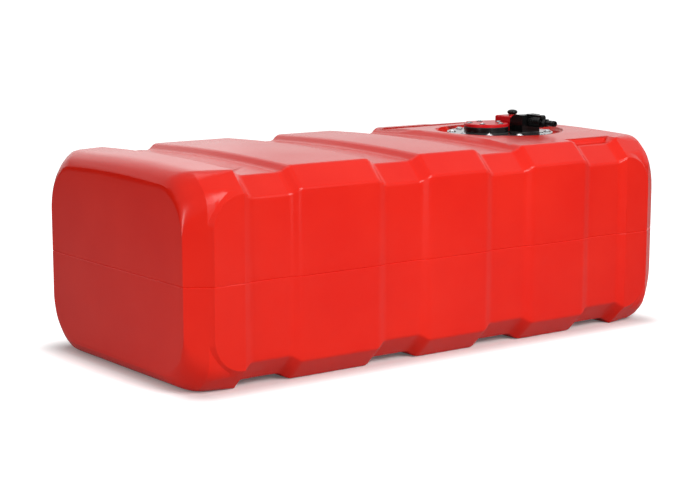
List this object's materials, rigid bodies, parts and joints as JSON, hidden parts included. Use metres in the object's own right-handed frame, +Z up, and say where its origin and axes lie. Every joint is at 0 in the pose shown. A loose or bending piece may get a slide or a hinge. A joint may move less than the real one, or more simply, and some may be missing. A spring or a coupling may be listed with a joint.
{
  "type": "outboard fuel tank",
  "caption": "Long banded plastic fuel tank with a recessed steel flange carrying a blanked port, a shut-off tap and a latched hose outlet.",
  "frame": {"origin": "centre of the tank's footprint on the surface that it stands on", "axes": "+Z up, +X along the tank towards the end with the fittings, -Y towards the side that the hose outlet points to"},
  "size_m": [0.885, 0.4166, 0.3349],
  "materials": {
    "tank_shell": "satin rotomoulded skin",
    "boss_inserts": "turned",
    "flange_gasket": "plain",
    "flange_plate": "brushed",
    "flange_washers": "plain",
    "flange_bolts": "polished head",
    "port_gasket": "plain",
    "port_base": "moulded",
    "cover_gasket": "plain",
    "port_cover": "moulded",
    "cover_washers": "plain",
    "cover_screws": "polished head",
    "head_gasket": "plain",
    "valve_body": "moulded",
    "valve_plug": "turned",
    "valve_gland": "moulded",
    "valve_knob": "moulded",
    "plug_ring": "plain",
    "outlet_block": "moulded",
    "head_screws": "plain",
    "coupling_body": "moulded",
    "hose_barb": "moulded",
    "latch_lever": "moulded",
    "lever_pin": "plain",
    "dip_tube": "natural",
    "strainer": "natural"
  },
  "bodies": {
    "tank": {"tank_shell": "tank_shell", "boss_inserts": "boss_inserts", "flange_gasket": "flange_gasket", "flange_plate": "flange_plate", "flange_washers": "flange_washers", "flange_bolts": "flange_bolts", "port_gasket": "port_gasket", "port_base": "port_base", "cover_gasket": "cover_gasket", "port_cover": "port_cover", "cover_washers": "cover_washers", "cover_screws": "cover_screws", "head_gasket": "head_gasket", "valve_body": "valve_body", "valve_gland": "valve_gland", "outlet_block": "outlet_block", "head_screws": "head_screws", "coupling_body": "coupling_body", "hose_barb": "hose_barb", "lever_pin": "lever_pin", "dip_tube": "dip_tube", "strainer": "strainer"},
    "tap": {"valve_plug": "valve_plug", "plug_ring": "plug_ring", "valve_knob": "valve_knob"},
    "latch": {"latch_lever": "latch_lever"}
  },
  "joints": [
    {"name": "tap_turn", "type": "hinge", "parent": "tank", "child": "tap", "pos_m": [0.3045, 0, 0.3185], "axis": [0, 0, 1], "range_deg": [0, 90]},
    {"name": "latch_lift", "type": "hinge", "parent": "tank", "child": "latch", "pos_m": [0.3045, -0.0492, 0.328], "axis": [-1, 0, 0], "range_deg": [0, 30], "stiffness_Nm_per_rad": 0.02}
  ]
}
